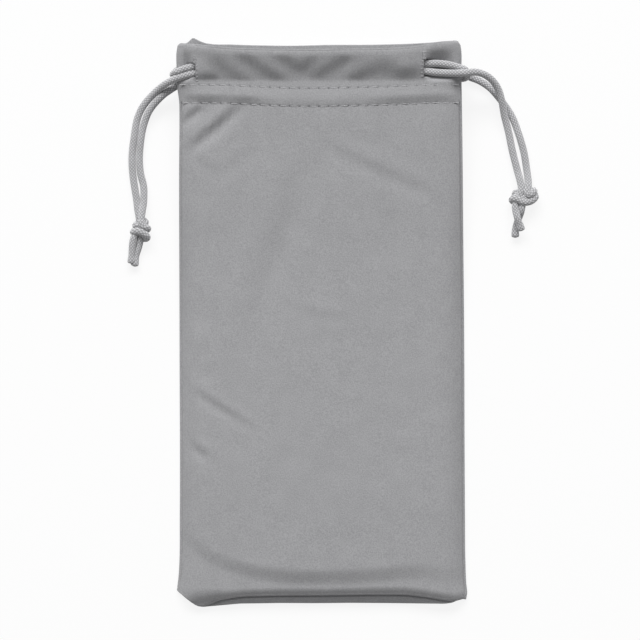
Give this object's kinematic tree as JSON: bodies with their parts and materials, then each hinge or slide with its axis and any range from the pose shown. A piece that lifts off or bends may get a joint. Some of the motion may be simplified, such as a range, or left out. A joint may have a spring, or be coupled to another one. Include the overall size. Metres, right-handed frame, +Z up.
{
  "type": "drawstring eyeglass pouch",
  "caption": "Flat soft pouch with a drawstring mouth: a cord from each side runs round the hem, is knotted at its ends, and gathers the opening when pulled.",
  "frame": {"origin": "middle of the face that the pouch rests on, lying flat: centre of its outline, at the table", "axes": "+Y along the pouch towards its mouth, +X towards the side where the right drawstring's ends hang, +Z up through the front panel"},
  "size_m": [0.131, 0.178, 0.012],
  "materials": {
    "microfibre": "matt, very fine nap",
    "cord": "round braid, slight sheen",
    "thread": "twisted polyester thread"
  },
  "bodies": {
    "pouch": {"front_panel": "microfibre", "back_panel": "microfibre", "front_casing": "microfibre", "back_casing": "microfibre", "left_seam_allowance": "microfibre", "right_seam_allowance": "microfibre", "bottom_seam_allowance": "microfibre", "left_seam_thread": "thread", "right_seam_thread": "thread", "bottom_seam_thread": "thread", "front_upper_stitching": "thread", "front_lower_stitching": "thread", "back_upper_stitching": "thread", "back_lower_stitching": "thread"},
    "left_mouth_end": {"left_mouth_end": "microfibre", "front_left_bartack": "thread", "back_left_bartack": "thread"},
    "right_mouth_end": {"right_mouth_end": "microfibre", "front_right_bartack": "thread", "back_right_bartack": "thread"},
    "left_drawstring": {"left_drawstring_front_run": "cord", "left_drawstring_back_run": "cord", "left_drawstring_loop": "cord", "left_drawstring_front_strand": "cord", "left_drawstring_back_strand": "cord", "left_drawstring_knot": "cord", "left_drawstring_tail_1": "cord", "left_drawstring_tail_2": "cord"},
    "right_drawstring": {"right_drawstring_front_run": "cord", "right_drawstring_back_run": "cord", "right_drawstring_loop": "cord", "right_drawstring_front_strand": "cord", "right_drawstring_back_strand": "cord", "right_drawstring_knot": "cord", "right_drawstring_tail_1": "cord", "right_drawstring_tail_2": "cord"}
  },
  "joints": [
    {"name": "left_drawstring_pull", "type": "slide", "parent": "pouch", "child": "left_drawstring", "axis": [-1, 0, 0], "range_m": [0, 0.025], "deforming": ["front_casing", "back_casing"]},
    {"name": "right_drawstring_pull", "type": "slide", "parent": "pouch", "child": "right_drawstring", "axis": [1, 0, 0], "range_m": [0, 0.025], "deforming": ["front_casing", "back_casing"]},
    {"name": "right_mouth_gather", "type": "slide", "parent": "pouch", "child": "right_mouth_end", "axis": [-1, 0, 0], "range_m": [0, 0.025], "deforming": ["front_casing", "back_casing"]},
    {"name": "left_mouth_gather", "type": "slide", "parent": "pouch", "child": "left_mouth_end", "axis": [1, 0, 0], "range_m": [0, 0.025], "deforming": ["front_casing", "back_casing"]}
  ],
  "couplings": [
    {"joint": "right_mouth_gather", "follows": "left_drawstring_pull", "ratio": 1},
    {"joint": "left_mouth_gather", "follows": "right_drawstring_pull", "ratio": 1}
  ]
}
